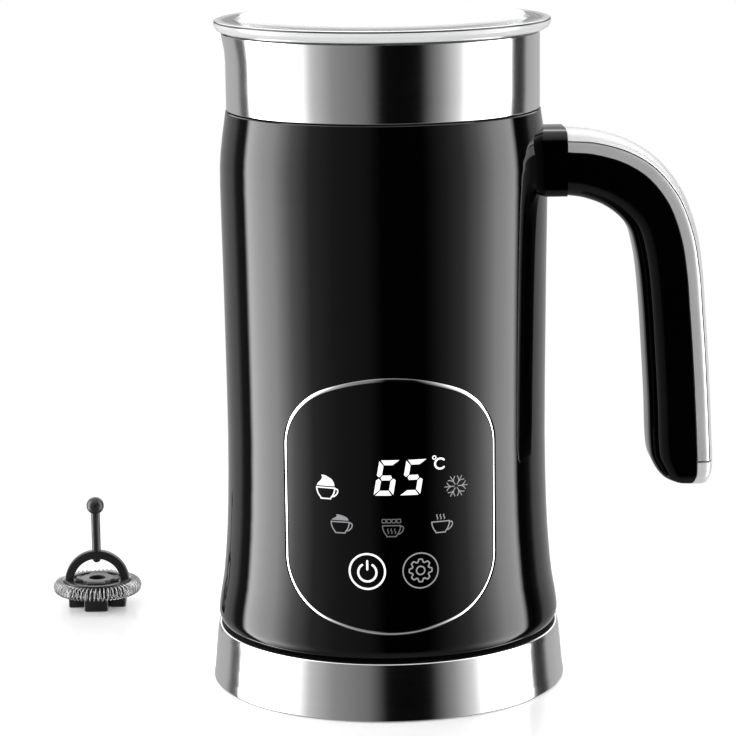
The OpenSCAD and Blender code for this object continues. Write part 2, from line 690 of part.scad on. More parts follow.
module whisk_bush_shape() {
    ring(bush_r, pin_r + run, 0.1, hub_top - 0.6, $fn = 48);
    ring(bush_flange_r, bush_r - 0.1, hub_top - 1, hub_top - 0.6, $fn = 48);
}
module whisk_frame_shape() {
    difference() {
        union() {
            for (a = [0, 90]) rotate([0, 0, a]) {
                translate([-arm_half, -arm_w / 2, 0]) cube([2 * arm_half, arm_w, arm_h]);
                translate([-arm_half + 2.2, -arm_w / 2 + 0.8, arm_h - 0.1])
                    cube([2 * arm_half - 4.4, arm_w - 1.6, hub_top - arm_h + 0.1]);
            }
            translate([0, 0, web_z]) cylinder(r = rim_in - 0.6, h = 1);
            ring(rim_out, rim_in, rim_z, rim_z + 1);
            translate([0, 0, web_z]) cylinder(r = hub_r, h = hub_top - web_z, $fn = 48);
            translate([0, 1.4, arch_z]) rotate([90, 0, 0]) intersection() {
                difference() {
                    cylinder(r = arch_out, h = 2.8);
                    translate([0, 0, -1]) cylinder(r = arch_in, h = 5);
                }
                translate([-20, 0, -1]) cube([40, 20, 5]);
            }
            translate([0, 0, arch_z + arch_in + 0.5])
                cylinder(r = stem_r, h = whisk_h - ball_r - arch_z - arch_in - 0.5, $fn = 48);
            translate([0, 0, arch_z + arch_in + 0.3]) sphere(r = stem_r - 0.1, $fn = 32);
            translate([0, 0, whisk_h - ball_r]) sphere(r = ball_r, $fn = 48);
        }
        translate([0, 0, -1]) cylinder(r = bush_r + run, h = 12, $fn = 48);
        translate([0, 0, hub_top - 1.1]) cylinder(r = bush_flange_r + 0.1, h = 2, $fn = 48);
        around(whisk_magnet_angles, whisk_magnet_pcr) translate([0, 0, 1])
            cylinder(r = magnet_r + eps, h = 4.1, $fn = 48);
    }
}
module whisk_magnets_shape() {
    around(whisk_magnet_angles, whisk_magnet_pcr) translate([0, 0, 1.05])
        cylinder(r = magnet_r, h = 4, $fn = 48);
}
module whisk_spring_shape() {
    translate([0, 0, coil_z]) rotate_extrude() translate([coil_ring_r, 0]) circle(r = coil_turn_r, $fn = 32);
}
module in_cup() { translate([0, 0, whisk_z]) children(); }
module beside() { translate([spare_x, spare_y, 0]) children(); }

module whisk_bush() color("gainsboro") { in_cup() whisk_bush_shape(); }
module whisk_frame() color([0.05, 0.05, 0.05]) { in_cup() whisk_frame_shape(); }
module whisk_spring() color("silver") { in_cup() whisk_spring_shape(); }
module whisk_magnets() color("gray") { in_cup() whisk_magnets_shape(); }
module spare_bush() color("gainsboro") { beside() whisk_bush_shape(); }
module spare_frame() color([0.05, 0.05, 0.05]) { beside() whisk_frame_shape(); }
module spare_spring() color("silver") { beside() whisk_spring_shape(); }
module spare_magnets() color("gray") { beside() whisk_magnets_shape(); }

base_skirt();
base_deck();
base_bottom();
base_socket();
contact_rings();
foot_ring();
base_screws();
cord_gland();
cord_clamp();
jug_coupler();
coupler_pins();
outer_shell();
steel_collar();
inner_cup();
cup_gasket();
drive_pin();
display_window();
panel_trim();
display_board();
led_display();
touch_springs();
heater_ring();
heat_spreader();
temp_sensor();
thermal_cutout();
motor_can();
motor_end_cap();
stator_magnets();
motor_bushes();
motor_brushes();
motor_bracket();
motor_screws();
control_board();
board_components();
bottom_cover();
cover_screws();
handle_neck();
handle_grip();
grip_foot();
handle_back();
handle_end_cap();
handle_screws();
motor_shaft();
armature();
commutator();
magnet_yoke();
drive_magnets();
lid();
lid_gasket();
whisk_bush();
whisk_frame();
whisk_spring();
whisk_magnets();
spare_bush();
spare_frame();
spare_spring();
spare_magnets();
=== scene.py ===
"""Looks of the milk frother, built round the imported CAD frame. Lengths are in millimetres:
mm_box() reads them from the CAD, and mesh_of() turns them into Blender's metres. +Z is up, the
handle points to +X and the display faces -Y."""

import json
import math

import bmesh
import bpy
from mathutils import Matrix, Vector


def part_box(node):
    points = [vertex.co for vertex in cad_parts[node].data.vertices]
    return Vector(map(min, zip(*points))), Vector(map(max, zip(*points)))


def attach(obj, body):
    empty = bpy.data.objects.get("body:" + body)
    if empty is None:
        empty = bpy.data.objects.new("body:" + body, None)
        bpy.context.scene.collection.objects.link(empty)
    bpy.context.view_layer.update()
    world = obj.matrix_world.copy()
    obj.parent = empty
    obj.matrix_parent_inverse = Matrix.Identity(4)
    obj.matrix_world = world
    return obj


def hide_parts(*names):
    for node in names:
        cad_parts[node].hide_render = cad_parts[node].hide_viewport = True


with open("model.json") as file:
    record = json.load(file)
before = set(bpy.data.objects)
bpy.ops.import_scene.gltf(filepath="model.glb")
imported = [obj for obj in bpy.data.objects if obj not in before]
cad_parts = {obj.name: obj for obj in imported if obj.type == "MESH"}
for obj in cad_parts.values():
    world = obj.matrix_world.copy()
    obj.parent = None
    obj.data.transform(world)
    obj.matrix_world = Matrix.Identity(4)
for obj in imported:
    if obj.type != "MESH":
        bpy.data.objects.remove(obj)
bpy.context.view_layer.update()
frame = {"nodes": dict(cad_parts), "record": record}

MM = 0.001
NODES = frame["nodes"]
RECORD_SLOTS = {m["slot"]: m for m in frame["record"]["materials"]}
NODE_SLOT = {s["node"]: s["material_slot"] for s in frame["record"]["subparts"]}


def mm_box(node):
    """A CAD node's lowest and highest corners in millimetres."""
    low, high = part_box(node)
    return low / MM, high / MM


# ---------------------------------------------------------------- curves and outlines
def curve_through(points, steps):
    """Catmull-Rom curve through points of any dimension, with its ends kept."""
    out = []
    last = len(points) - 1
    for i in range(last):
        p0, p1 = points[max(i - 1, 0)], points[i]
        p2, p3 = points[i + 1], points[min(i + 2, last)]
        for s in range(steps):
            t = s / steps
            out.append(tuple(
                0.5 * (2 * b + (c - a) * t + (2 * a - 5 * b + 4 * c - d) * t * t
                       + (3 * b - a - 3 * c + d) * t ** 3)
                for a, b, c, d in zip(p0, p1, p2, p3)))
    out.append(tuple(points[-1]))
    return out


def arc(radius, start, end, steps, at=(0, 0)):
    """Points of a circular arc, angles in degrees."""
    angles = [math.radians(start + (end - start) * i / steps) for i in range(steps + 1)]
    return [(at[0] + radius * math.cos(a), at[1] + radius * math.sin(a)) for a in angles]


def rounded(corners, steps=5):
    """Closed outline through (a, b, radius) corners, each corner eased by an arc."""
    out = []
    n = len(corners)
    for i, (x, y, r) in enumerate(corners):
        here = Vector((x, y))
        back = Vector(corners[i - 1][:2]) - here
        on = Vector(corners[(i + 1) % n][:2]) - here
        if r <= 0 or back.length < 1e-6 or on.length < 1e-6:
            out.append((x, y))
            continue
        half = back.angle(on) / 2
        reach = min(r / math.tan(half), 0.49 * back.length, 0.49 * on.length)
        r_used = reach * math.tan(half)
        centre = here + (back.normalized() + on.normalized()).normalized() * (
            r_used / math.sin(half))
        first = here + back.normalized() * reach - centre
        turn = first.angle_signed(here + on.normalized() * reach - centre)
        for k in range(steps + 1):
            a = -turn * k / steps
            out.append((centre.x + first.x * math.cos(a) - first.y * math.sin(a),
                        centre.y + first.x * math.sin(a) + first.y * math.cos(a)))
    return out


def lerp(a, b, t):
    return a + (b - a) * t


# ---------------------------------------------------------------- meshes
def smooth_by_angle(mesh, degrees):
    mesh.shade_smooth()
    mesh.set_sharp_from_angle(angle=math.radians(degrees))


def mesh_of(name, verts, faces, merge):
    """Mesh from vertices in millimetres, with its normals outwards."""
    mesh = bpy.data.meshes.new(name)
    mesh.from_pydata([Vector(v) * MM for v in verts], [], faces)
    bm = bmesh.new()
    bm.from_mesh(mesh)
    if merge:
        bmesh.ops.remove_doubles(bm, verts=bm.verts, dist=1e-7)
    bmesh.ops.recalc_face_normals(bm, faces=bm.faces)
    bm.to_mesh(mesh)
    bm.free()
    return mesh


def mesh_piece(name, verts, faces, slot, body, replaces=(), sharp=35):
    """New piece from vertices in millimetres, riding on a body."""
    mesh = mesh_of(name, verts, faces, merge=True)
    smooth_by_angle(mesh, sharp)
    piece = bpy.data.objects.new(name, mesh)
    bpy.context.scene.collection.objects.link(piece)
    mesh.materials.append(material(slot))
    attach(piece, body)
    if replaces:
        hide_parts(*replaces)
    return piece


def lathe_geometry(outline, segments=192):
    """Closed solid of revolution about Z from a closed outline of (radius, height)."""
    verts, faces, rings = [], [], []
    for r, z in outline:
        if r < 1e-6:
            rings.append([len(verts)] * segments)
            verts.append((0, 0, z))
            continue
        rings.append(list(range(len(verts), len(verts) + segments)))
        for s in range(segments):
            a = 2 * math.pi * s / segments
            verts.append((r * math.cos(a), r * math.sin(a), z))
    for i, ring in enumerate(rings):
        after = rings[(i + 1) % len(rings)]
        for s in range(segments):
            t = (s + 1) % segments
            face = []
            for v in (ring[s], ring[t], after[t], after[s]):
                if v not in face:
                    face.append(v)
            if len(face) > 2:
                faces.append(face)
    return verts, faces


def lathe(name, outline, slot, body, replaces=(), segments=192, at=(0, 0, 0), sharp=35):
    verts, faces = lathe_geometry(outline, segments)
    verts = [tuple(Vector(v) + Vector(at)) for v in verts]
    return mesh_piece(name, verts, faces, slot, body, replaces, sharp)


def sweep_geometry(rings, closed=False):
    """Tube through rings of equal length, with flat ends unless it closes on itself."""
    n = len(rings[0])
    verts = [v for ring in rings for v in ring]
    faces = []
    count = len(rings) if closed else len(rings) - 1
    for i in range(count):
        after = (i + 1) % len(rings)
        for j in range(n):
            k = (j + 1) % n
            faces.append((i * n + j, i * n + k, after * n + k, after * n + j))
    if not closed:
        faces.append(tuple(range(n - 1, -1, -1)))
        faces.append(tuple((len(rings) - 1) * n + j for j in range(n)))
    return verts, faces


def sweep(name, rings, slot, body, replaces=(), closed=False, sharp=35):
    verts, faces = sweep_geometry(rings, closed)
    return mesh_piece(name, verts, faces, slot, body, replaces, sharp)


def joined(*parts):
    """One list of vertices and faces from several."""
    verts, faces = [], []
    for v, f in parts:
        shift = len(verts)
        verts += list(v)
        faces += [tuple(i + shift for i in face) for face in f]
    return verts, faces


def cut_with(piece, verts, faces, operation):
    """Boolean of a piece with a solid given in millimetres, applied to its mesh."""
    cutter = bpy.data.objects.new("cutter", mesh_of("cutter", verts, faces, merge=False))
    bpy.context.scene.collection.objects.link(cutter)
    step = piece.modifiers.new("cut", "BOOLEAN")
    step.operation = operation
    step.solver = "EXACT"
    step.object = cutter
    graph = bpy.context.evaluated_depsgraph_get()
    result = bpy.data.meshes.new_from_object(piece.evaluated_get(graph))
    piece.modifiers.clear()
    piece.data = result
    bpy.data.objects.remove(cutter)


# ---------------------------------------------------------------- materials
MATERIALS = {}


def set_ramp(ramp, stops):
    """Grey stops of a colour ramp, from (position, level) pairs in rising order."""
    while len(ramp.elements) < len(stops):
        ramp.elements.new(1.0)
    for element, (position, level) in zip(ramp.elements, stops):
        element.position = position
        element.color = (level, level, level, 1)


class Shader:
    """Node tree of one material, with short ways to add the nodes it uses."""

    def __init__(self, name):
        self.material = bpy.data.materials.new(name)
        self.material.use_nodes = True
        self.tree = self.material.node_tree
        self.bsdf = self.tree.nodes["Principled BSDF"]
        self.coords = self.tree.nodes.new("ShaderNodeTexCoord")

    def set(self, **values):
        for key, value in values.items():
            self.bsdf.inputs[key.replace("_", " ")].default_value = value
        return self

    def stretched(self, scale):
        """Object coordinates, scaled by (x, y, z)."""
        node = self.tree.nodes.new("ShaderNodeMapping")
        node.inputs["Scale"].default_value = scale
        self.tree.links.new(self.coords.outputs["Object"], node.inputs["Vector"])
        return node.outputs["Vector"]

    def noise(self, scale, detail=3.0, vector=None, rough=0.5):
        node = self.tree.nodes.new("ShaderNodeTexNoise")
        node.inputs["Scale"].default_value = scale
        node.inputs["Detail"].default_value = detail
        node.inputs["Roughness"].default_value = rough
        self.tree.links.new(vector or self.coords.outputs["Object"], node.inputs["Vector"])
        return node.outputs["Fac"]

    def spread(self, value, low, high, start=0.3, end=0.7):
        """Maps a 0..1 pattern onto low..high."""
        node = self.tree.nodes.new("ShaderNodeMapRange")
        for key, number in (("From Min", start), ("From Max", end), ("To Min", low), ("To Max", high)):
            node.inputs[key].default_value = number
        self.tree.links.new(value, node.inputs["Value"])
        return node.outputs["Result"]

    def tint(self, value, dark, light):
        """Colour between two, by a 0..1 pattern."""
        node = self.tree.nodes.new("ShaderNodeMix")
        node.data_type = "RGBA"
        node.inputs["A"].default_value = (*dark, 1)
        node.inputs["B"].default_value = (*light, 1)
        self.tree.links.new(value, node.inputs["Factor"])
        return node.outputs["Result"]

    def link(self, output, socket):
        self.tree.links.new(output, self.bsdf.inputs[socket])
        return self

    def bump(self, height, strength, distance):
        node = self.tree.nodes.new("ShaderNodeBump")
        node.inputs["Strength"].default_value = strength
        node.inputs["Distance"].default_value = distance
        self.tree.links.new(height, node.inputs["Height"])
        self.tree.links.new(node.outputs["Normal"], self.bsdf.inputs["Normal"])
        return self


def gloss_plastic(name, base, low=0.035, high=0.07):
    """Polished moulding: faint smears in its gloss and a very shallow moulding ripple."""
    s = Shader(name)
    s.link(s.tint(s.noise(40), [c * 0.03 for c in base], [c * 0.08 for c in base]), "Base Color")
    s.link(s.spread(s.noise(24, 5), low, high), "Roughness")
    s.set(IOR=1.42)
    s.bump(s.noise(90, 2), 0.02, 0.0002)
    return s


def metal(name, base, low, high, grain, grain_scale=(30, 30, 9000), bump=0.04):
    """Steel or aluminium with a fine drawn grain along its round."""
    s = Shader(name)
    s.set(Metallic=1.0)
    streaks = s.noise(1.0, 3, s.stretched(grain_scale))
    s.link(s.tint(streaks, [c * (1 - grain) for c in base], base), "Base Color")
    s.link(s.spread(s.noise(1.0, 4, s.stretched(grain_scale)), low, high), "Roughness")
    s.bump(streaks, bump, 0.00005)
    return s


def matte(name, base, rough, pores=2600, depth=0.0001, tone=0.2):
    """Textured moulding or rubber: fine grain and slight tone changes."""
    s = Shader(name)
    s.link(s.tint(s.noise(60, 4), [c * (1 - tone) for c in base], [c * (1 + tone) for c in base]),
           "Base Color")
    s.link(s.spread(s.noise(180, 3), rough - 0.08, rough + 0.08), "Roughness")
    s.bump(s.noise(pores, 2), 0.25, depth)
    return s


def clear_plastic(name, base):
    """Clear moulding with a frosted white middle, and a rim that scatters a little light.

    Two fine dark bands of painted shade run round the rim, where it is undercut and where it meets the
    collar.
    """
    s = Shader(name)
    rim = mm_box("lid")[1] * MM
    frosted, clear_from = rim.x - 0.0078, rim.x - 0.0062
    milky_from, milky = rim.x - 0.003, rim.x - 0.0012
    out = s.tree.nodes.new("ShaderNodeVectorMath")
    out.operation = "LENGTH"
    s.tree.links.new(s.stretched((1, 1, 0)), out.inputs[0])
    radius = out.outputs["Value"]
    axes = s.tree.nodes.new("ShaderNodeSeparateXYZ")
    s.tree.links.new(s.coords.outputs["Object"], axes.inputs[0])
    collar_top, flange = rim.z - 0.0052, rim.z - 0.0012
    height = s.spread(axes.outputs["Z"], 0.0, 1.0, collar_top, flange)
    # painted shade: two dark bands by height, under the rim's undercut and where the rim meets the collar
    painted_shade_lines = s.tree.nodes.new("ShaderNodeValToRGB")
    set_ramp(painted_shade_lines.color_ramp, [(0.0, 0.03), (0.15, 0.03), (0.2, 1.0), (0.86, 1.0), (0.89, 0.02),
                                (0.98, 0.02), (1.0, 1.0)])
    s.tree.links.new(height, painted_shade_lines.inputs["Fac"])
    middle = s.spread(radius, 0.0, 0.85, frosted, clear_from)
    edge = s.spread(radius, 1.0, 0.35, milky_from, milky)
    clear = s.tree.nodes.new("ShaderNodeMath")
    clear.operation = "MULTIPLY"
    s.tree.links.new(middle, clear.inputs[0])
    s.tree.links.new(edge, clear.inputs[1])
    s.link(clear.outputs[0], "Transmission Weight")
    s.link(s.spread(radius, 0.0, 0.5, frosted, clear_from), "Specular IOR Level")
    streaks = s.noise(1.0, 3, s.stretched((25, 25, 2400)))
    # multiplies the painted shade bands into the base colour
    shade = s.tree.nodes.new("ShaderNodeMix")
    shade.data_type = "RGBA"
    shade.blend_type = "MULTIPLY"
    shade.inputs["Factor"].default_value = 1.0
    s.tree.links.new(s.tint(streaks, [c * 0.95 for c in base], base), shade.inputs["A"])
    s.tree.links.new(painted_shade_lines.outputs["Color"], shade.inputs["B"])
    s.link(shade.outputs["Result"], "Base Color")
    s.link(s.spread(s.noise(50, 4), 0.03, 0.08), "Roughness")
    s.set(IOR=1.45)
    s.bump(s.noise(60, 2), 0.02, 0.0002)
    return s


def satin_paint(name, base, metallic):
    """Bright satin coating with a metallic fleck."""
    s = Shader(name)
    s.set(Metallic=metallic, Coat_Weight=0.1, Coat_Roughness=0.12)
    s.link(s.tint(s.noise(900, 2), [c * 0.97 for c in base], base), "Base Color")
    s.link(s.spread(s.noise(120, 3), 0.28, 0.36), "Roughness")
    s.bump(s.noise(700, 2), 0.015, 0.00002)
    return s


def lit(name, strength):
    """Printed mark lit from behind, its glow a little uneven in tint and strength."""
    s = Shader(name)
    s.set(Base_Color=(0.02, 0.02, 0.02, 1), Roughness=0.3, Emission_Strength=strength)
    s.link(s.tint(s.noise(400, 2), (0.93, 0.95, 1.0), (1.0, 1.0, 1.0)), "Emission Color")
    return s


def wound(name, base):
    """Enamelled winding: fine parallel wires."""
    s = Shader(name)
    s.set(Metallic=0.8)
    wires = s.tree.nodes.new("ShaderNodeTexWave")
    wires.bands_direction = "Z"
    wires.inputs["Scale"].default_value = 900
    wires.inputs["Distortion"].default_value = 0.6
    s.tree.links.new(s.coords.outputs["Object"], wires.inputs["Vector"])
    s.link(s.tint(wires.outputs["Fac"], [c * 0.5 for c in base], base), "Base Color")
    s.set(Roughness=0.35)
    s.bump(wires.outputs["Fac"], 0.5, 0.0002)
    return s


def make_material(slot):
    base = RECORD_SLOTS[slot]["base_color"][:3]
    if slot == "gloss_black":
        return gloss_plastic(slot, base)
    if slot == "window_black":
        return gloss_plastic(slot, base, 0.02, 0.045)
    if slot == "brushed_steel":
        return metal(slot, (0.86, 0.86, 0.865), 0.1, 0.16, 0.06)
    if slot == "cup_steel":
        return metal(slot, (0.8, 0.8, 0.8), 0.22, 0.32, 0.12, bump=0.1)
    if slot == "bright_trim":
        return metal(slot, (0.92, 0.92, 0.92), 0.05, 0.09, 0.02, (200, 200, 200), 0.01)
    if slot == "satin_silver":
        return satin_paint(slot, (0.69, 0.69, 0.695), 0.25)
    if slot == "spring_steel":
        return metal(slot, (0.47, 0.47, 0.475), 0.2, 0.3, 0.15, (900, 900, 900), 0.02).set(Metallic=0.75)
    if slot in ("screw_steel", "zinc_steel", "aluminium", "contact_brass"):
        return metal(slot, base, 0.22, 0.38, 0.2, (500, 500, 500), 0.05)
    if slot in ("magnet", "heater_dark"):
        return metal(slot, base, 0.4, 0.55, 0.3, (300, 300, 300), 0.1)
    if slot == "copper_winding":
        return wound(slot, base)
    if slot == "clear_plastic":
        return clear_plastic(slot, (0.97, 0.975, 0.98))
    if slot == "clear_silicone":
        return matte(slot, base, 0.45, 900, 0.00005, 0.03).set(Transmission_Weight=0.35)
    if slot == "icon_white":
        return lit(slot, 1.25)
    if slot == "icon_grey":
        return lit(slot, 0.32)
    if slot == "whisk_black":
        return matte(slot, base, 0.32, 1500, 0.00004)
    if slot == "soft_black":
        return matte(slot, base, 0.65)
    if slot == "board_green":
        return matte(slot, base, 0.4, 800, 0.0001, 0.35)
    return matte(slot, base, 0.5)


def material(slot):
    if slot not in MATERIALS:
        MATERIALS[slot] = make_material(slot).material
    return MATERIALS[slot]


# ---------------------------------------------------------------- camera, light and floor
def aim_camera():
    """Camera at the reference angle: 0.94 m away, looking 11 degrees down."""
    distance, height = 0.8978, 0.2713
    around, turned = math.radians(-1.44), math.radians(0.338)
    pitch, roll = math.radians(11.164), math.radians(-0.67)
    data = bpy.data.cameras.new("camera")
    data.sensor_width = 36
    data.lens = 149.3
    data.clip_end = 20
    camera = bpy.data.objects.new("camera", data)
    bpy.context.scene.collection.objects.link(camera)
    turn = Matrix.Rotation(around + turned, 4, "Z")
    tip = Matrix.Rotation(math.pi / 2 - pitch, 4, "X")
    camera.matrix_world = (
        Matrix.Translation((distance * math.sin(around), -distance * math.cos(around), height))
        @ turn @ tip @ Matrix.Rotation(roll, 4, "Z"))
    bpy.context.scene.camera = camera


def studio():
    """Soft boxes and dark flags round the object, as brightness by direction."""
    world = bpy.data.worlds.new("studio")
    bpy.context.scene.world = world
    world.use_nodes = True
    tree = world.node_tree
    tree.nodes.clear()

    def node(kind, **settings):
        made = tree.nodes.new(kind)
        for key, value in settings.items():
            setattr(made, key, value)
        return made

    def math_node(operation, *values):
        made = node("ShaderNodeMath", operation=operation)
        for i, value in enumerate(values):
            if isinstance(value, (int, float)):
                made.inputs[i].default_value = value
            else:
                tree.links.new(value, made.inputs[i])
        return made.outputs[0]

    def ramp(value, stops):
        made = node("ShaderNodeValToRGB")
        set_ramp(made.color_ramp, stops)
        tree.links.new(value, made.inputs["Fac"])
        return made.outputs["Color"]

    coords = node("ShaderNodeTexCoord")
    split = node("ShaderNodeSeparateXYZ")
    tree.links.new(coords.outputs["Generated"], split.inputs[0])
    # turns from -Y, positive towards +X, as 0..1 with the middle at -Y
    turn = math_node("ARCTAN2", split.outputs["X"], math_node("MULTIPLY", split.outputs["Y"], -1.0))
    share = math_node("ADD", math_node("DIVIDE", turn, 2 * math.pi), 0.5)
    levels = [(-180, 0.5), (-134, 0.46), (-127, 0.09), (-117, 0.07), (-112, 7.2), (-86, 6.2), (-70, 2.2),
              (-55, 0.6), (-38, 0.28), (-14, 0.17), (-3, 0.002), (26, 0.002), (31, 0.08), (42, 0.3),
              (56, 0.8), (68, 2.2), (84, 5.2), (102, 5.8), (107, 0.012), (116, 0.015), (123, 0.06),
              (129, 0.42), (150, 0.5), (180, 0.5)]
    sides = ramp(share, [((a + 180) / 360, v) for a, v in levels])
    overhead = ramp(split.outputs["Z"], [(0.0, 0.0), (0.5, 0.0), (1.0, 1.0)])
    back = math_node("MULTIPLY", ramp(split.outputs["Y"], [(0.0, 0.0), (0.45, 0.0), (0.7, 1.0)]),
                     ramp(split.outputs["Z"], [(0.0, 0.0), (0.04, 0.0), (0.14, 1.0)]))
    back_high = math_node("MULTIPLY", back, ramp(split.outputs["Z"], [(0.0, 0.0), (0.17, 0.0), (0.27, 1.0)]))
    below = ramp(math_node("MULTIPLY", split.outputs["Z"], -1.0), [(0.0, 0.0), (0.5, 0.0), (0.75, 1.0)])
    above = sides
    for level, share_of in ((0.3, below), (0.3, back), (2.0, back_high), (1.3, overhead)):
        step = node("ShaderNodeMix", data_type="RGBA")
        step.inputs["B"].default_value = (level, level, level, 1)
        tree.links.new(share_of, step.inputs["Factor"])
        tree.links.new(above, step.inputs["A"])
        above = step.outputs["Result"]
    seen = node("ShaderNodeLightPath")
    # the soft boxes show only in gloss; all else is lit by an even white room
    even = math_node("MAXIMUM", seen.outputs["Is Camera Ray"], math_node(
        "MAXIMUM", seen.outputs["Is Diffuse Ray"], seen.outputs["Is Transmission Ray"]))
    backdrop = node("ShaderNodeMix", data_type="RGBA")
    backdrop.inputs["B"].default_value = (1, 1, 1, 1)
    tree.links.new(even, backdrop.inputs["Factor"])
    tree.links.new(above, backdrop.inputs["A"])
    glow = node("ShaderNodeBackground")
    tree.links.new(backdrop.outputs["Result"], glow.inputs["Color"])
    out = node("ShaderNodeOutputWorld")
    tree.links.new(glow.outputs[0], out.inputs["Surface"])
    bpy.context.scene.view_settings.view_transform = "Standard"


def floor():
    """Pale floor with a faint gloss near the object, fading to plain white."""
    mesh = bpy.data.meshes.new("floor")
    reach = 6.0
    mesh.from_pydata([(-reach, -reach, 0), (reach, -reach, 0), (reach, reach, 0), (-reach, reach, 0)],
                     [], [(0, 1, 2, 3)])
    piece = bpy.data.objects.new("floor", mesh)
    bpy.context.scene.collection.objects.link(piece)
    piece.visible_glossy = False
    pale = bpy.data.materials.new("floor")
    pale.use_nodes = True
    tree = pale.node_tree
    bsdf = tree.nodes["Principled BSDF"]
    bsdf.inputs["Base Color"].default_value = (0.93, 0.93, 0.93, 1)
    bsdf.inputs["Roughness"].default_value = 0.22
    bsdf.inputs["IOR"].default_value = 1.35
    bsdf.inputs["Emission Color"].default_value = (1, 1, 1, 1)
    bsdf.inputs["Emission Strength"].default_value = 0.1
    white = tree.nodes.new("ShaderNodeEmission")
    coords = tree.nodes.new("ShaderNodeTexCoord")
    length = tree.nodes.new("ShaderNodeVectorMath")
    length.operation = "LENGTH"
    tree.links.new(coords.outputs["Object"], length.inputs[0])
    fade = tree.nodes.new("ShaderNodeMapRange")
    fade.interpolation_type = "SMOOTHSTEP"
    fade.inputs["From Min"].default_value = 0.09
    fade.inputs["From Max"].default_value = 0.3
    tree.links.new(length.outputs["Value"], fade.inputs["Value"])
    mix = tree.nodes.new("ShaderNodeMixShader")
    tree.links.new(fade.outputs["Result"], mix.inputs["Fac"])
    tree.links.new(bsdf.outputs[0], mix.inputs[1])
    tree.links.new(white.outputs[0], mix.inputs[2])
    tree.links.new(mix.outputs[0], tree.nodes["Material Output"].inputs["Surface"])
    mesh.materials.append(pale)


# ---------------------------------------------------------------- the gloss shell
def silhouette(node, start=100, end=170):
    """Outer (radius, height) bends of a round CAD node, read where it has no holes or bosses."""
    widest = {}
    for v in NODES[node].data.vertices:
        x, y, z = v.co / MM
        if start < math.degrees(math.atan2(y, x)) < end:
            key = round(z, 2)
            widest[key] = max(widest.get(key, 0), math.hypot(x, y))
    return [(widest[z], z) for z in sorted(widest)]


SHELL = curve_through(silhouette("outer_shell")[1:], 3)
SHELL_WALL = 2.2


def shell_radius(z):
    for (r0, z0), (r1, z1) in zip(SHELL, SHELL[1:]):
        if z <= z1:
            return lerp(r0, r1, max(0.0, (z - z0) / (z1 - z0)))
    return SHELL[-1][0]


def on_shell(x, z, lift=0.0):
    """Point on the shell's front at (x, z), lifted off its surface."""
    r = shell_radius(z) + lift
    return (x, -math.sqrt(max(r * r - x * x, 0.0)), z)


def panel_sizes():
    low, high = mm_box("display_window")
    return (high.x - low.x) / 2, (high.z - low.z) / 2, (high.z + low.z) / 2


PANEL_W, PANEL_H, PANEL_Z = panel_sizes()
PANEL_END_R, PANEL_CORNER_R = 50, 18
TRIM_W = 1.2


def panel_outline(grow, steps=28):
    """Closed outline of the display panel about its centre, as (x, z)."""
    cx = PANEL_W - PANEL_CORNER_R
    end = PANEL_H - PANEL_END_R
    reach = PANEL_END_R - PANEL_CORNER_R
    cy = end + math.sqrt(reach ** 2 - cx ** 2)
    tilt = math.degrees(math.atan2(cy - end, cx))
    quarter = arc(PANEL_CORNER_R + grow, 0, tilt, steps, (cx, cy))
    quarter += arc(PANEL_END_R + grow, tilt, 90, steps, (0, end))[1:]
    side = [(PANEL_W + grow, cy * k / 8) for k in range(8)]
    right_up = side + quarter
    left_up = [(-x, y) for x, y in reversed(right_up[:-1])]
    top = right_up + left_up
    return top + [(-x, -y) for x, y in top[1:-1]]


def panel_prism(grow):
    """Solid that runs through the shell's front wall, in the panel's outline."""
    flat = panel_outline(grow)
    rings = [[(x, y, z + PANEL_Z) for x, z in flat] for y in (-60, -20)]
    return sweep_geometry(rings)


def gloss_shell():
    """Hollow shell with an opening for the display panel and its ring."""
    edge = shell_radius(0)
    bottom = [(edge - 2.6, 17.8), (edge - 1.6, 17.85), (edge - 0.8, 18.15)]
    outer = bottom + [p for p in SHELL if p[1] > 18.5]
    top = mm_box("outer_shell")[1].z
    outer = outer[:-1] + [(outer[-1][0] - 0.02, top - 0.25), (outer[-1][0] - 0.25, top)]
    inner = [(r - SHELL_WALL, z) for r, z in reversed(SHELL[2:-1])]
    outline = outer + [(SHELL[-1][0] - SHELL_WALL, top)] + inner + [(edge - 3.2, 17.9)]
    shell = lathe("gloss_shell", outline, "gloss_black", "jug", ("outer_shell",), 360, sharp=28)
    cut_with(shell, *panel_prism(TRIM_W - 0.15), "DIFFERENCE")
    smooth_by_angle(shell.data, 28)


def display_window():
    """Curved dark window that fills the shell's opening."""
    depth = 1.3
    part = [(r, z) for r, z in SHELL if 20 < z < 106]
    outline = [(r - 0.04, z) for r, z in part] + [(r - depth, z) for r, z in reversed(part)]
    window = lathe("touch_window", outline, "window_black", "jug", ("display_window",), 360, sharp=28)
    cut_with(window, *panel_prism(-0.02), "INTERSECT")
    smooth_by_angle(window.data, 28)


def panel_ring():
    """Bright ring round the panel: a broad face that slopes outwards into a narrow groove."""
    centre = panel_outline(TRIM_W / 2, 40)
    path = [Vector(on_shell(x, z + PANEL_Z)) for x, z in centre]
    half, deep = TRIM_W / 2, 0.7
    section = [(-half, -deep), (-half, 0.16), (-half * 0.75, 0.18), (0, 0.04), (half * 0.8, -0.17),
               (half, -0.24), (half, -deep)]
    rings = []
    n = len(path)
    for i, p in enumerate(path):
        along = (path[(i + 1) % n] - path[i - 1]).normalized()
        out = Vector((p.x, p.y, 0)).normalized()
        out = (out - along * out.dot(along)).normalized()
        across = along.cross(out)
        rings.append([tuple(p + across * b + out * h) for b, h in section])
    sweep("panel_ring", rings, "bright_trim", "jug", ("panel_trim",), closed=True, sharp=50)


# ---------------------------------------------------------------- lit marks on the display
MARK_LIFT = 0.05
MARK_DEPTH = 0.09
END_REACH, END_SHARE = 0.32, 0.45  # how far a strip's end runs on, and its share of the width


